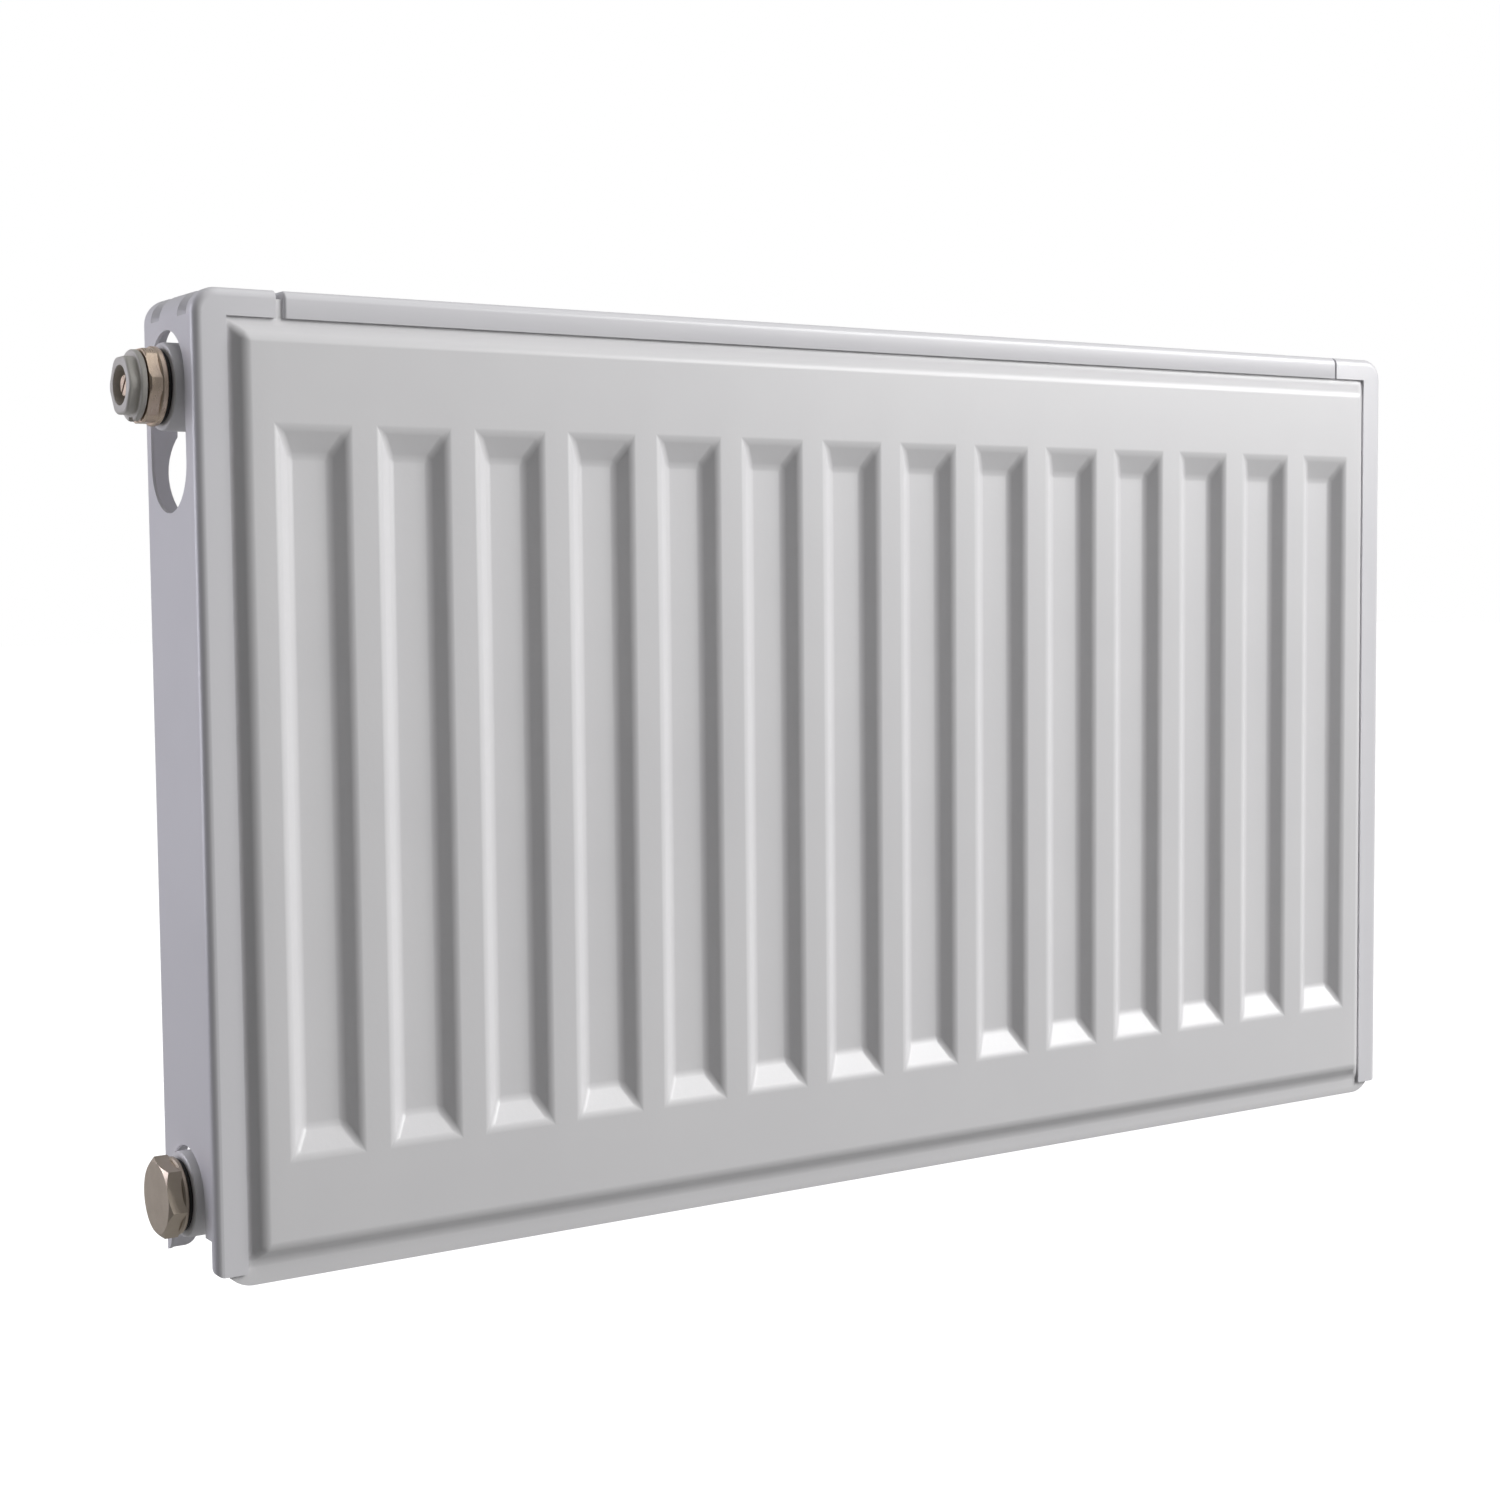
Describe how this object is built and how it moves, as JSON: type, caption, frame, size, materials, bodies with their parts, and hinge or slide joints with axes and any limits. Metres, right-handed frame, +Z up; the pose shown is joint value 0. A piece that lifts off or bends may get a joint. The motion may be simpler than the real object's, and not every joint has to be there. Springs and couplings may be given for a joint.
{
  "type": "panel radiator",
  "caption": "Single-panel steel radiator with grooved front, rear convector folds, slide-on side covers, lift-off top grille, air vent and blanking plug.",
  "frame": {"origin": "midway between the two upper wall-hanging slots, at the top of the slots", "axes": "+X along the width towards the open connections, +Y towards the wall, +Z up"},
  "size_m": [0.5218, 0.0475, 0.3012],
  "materials": {
    "painted": "semi-gloss white powder coat",
    "convector_paint": "thin matt white paint",
    "cover_paint": "semi-gloss white powder coat",
    "spring_steel": "zinc-plated spring steel",
    "vent_nickel": "warm nickel-plated brass",
    "plug_nickel": "nickel-plated brass, turned",
    "cap_plastic": "moulded grey plastic",
    "seal_rubber": "black sealing ring"
  },
  "bodies": {
    "core": {"front_sheet": "painted", "back_sheet": "painted", "convector": "convector_paint", "socket_ul": "painted", "socket_ll": "painted", "socket_ur": "painted", "socket_lr": "painted", "lug_ul": "painted", "lug_ur": "painted", "lug_ll": "painted", "lug_lr": "painted", "vent_body": "vent_nickel", "vent_o_ring": "seal_rubber", "blank_plug": "plug_nickel", "blank_o_ring": "seal_rubber"},
    "left_end": {"left_cover": "cover_paint", "left_cover_clip": "spring_steel"},
    "right_end": {"right_cover": "cover_paint", "right_cover_clip": "spring_steel"},
    "grille": {"top_grille": "cover_paint", "grille_clip_left": "spring_steel", "grille_clip_right": "spring_steel"},
    "cap": {"vent_cap": "cap_plastic"},
    "spindle": {"vent_spindle": "vent_nickel"}
  },
  "joints": [
    {"name": "grille_lift", "type": "slide", "parent": "core", "child": "grille", "axis": [0, 0, 1], "range_m": [0, 0.08]},
    {"name": "left_cover_pull", "type": "slide", "parent": "core", "child": "left_end", "axis": [-1, 0, 0], "range_m": [0, 0.05]},
    {"name": "right_cover_pull", "type": "slide", "parent": "core", "child": "right_end", "axis": [1, 0, 0], "range_m": [0, 0.05]},
    {"name": "cap_turn", "type": "hinge", "parent": "core", "child": "cap", "pos_m": [-0.262, -0.0015, -0.003], "axis": [-1, 0, 0], "continuous": true},
    {"name": "spindle_turn", "type": "hinge", "parent": "core", "child": "spindle", "pos_m": [-0.258, -0.0015, -0.003], "axis": [-1, 0, 0], "range_deg": [0, 360]}
  ]
}
